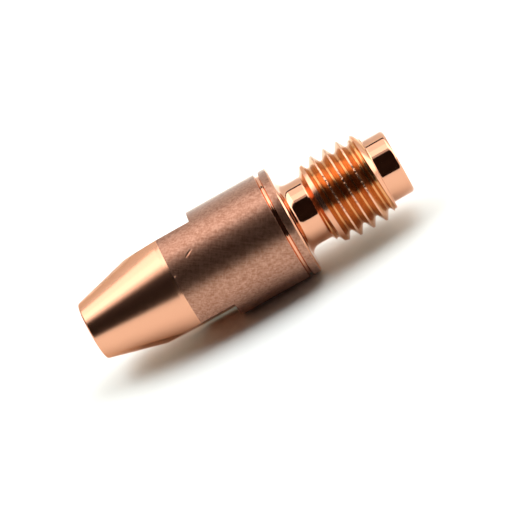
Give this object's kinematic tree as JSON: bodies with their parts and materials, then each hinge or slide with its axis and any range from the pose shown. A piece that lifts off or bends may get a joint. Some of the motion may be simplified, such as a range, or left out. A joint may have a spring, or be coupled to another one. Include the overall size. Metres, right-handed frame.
{
  "type": "welding contact tip",
  "caption": "Turned copper contact tip for a wire-feed welding torch: tapered nose, flatted body with a grooved collar, relieved thread and pilot, and a wire bore right through.",
  "frame": {"origin": "centre of the threaded end's flat end face, on which the tip stands", "axes": "+Z along the bore from the threaded end to the nose, the way the wire travels; the spanner flats face +X and -X"},
  "size_m": [0.01, 0.01, 0.03],
  "materials": {
    "copper": null
  },
  "bodies": {
    "root": {"contact_tip": "copper"}
  },
  "joints": []
}
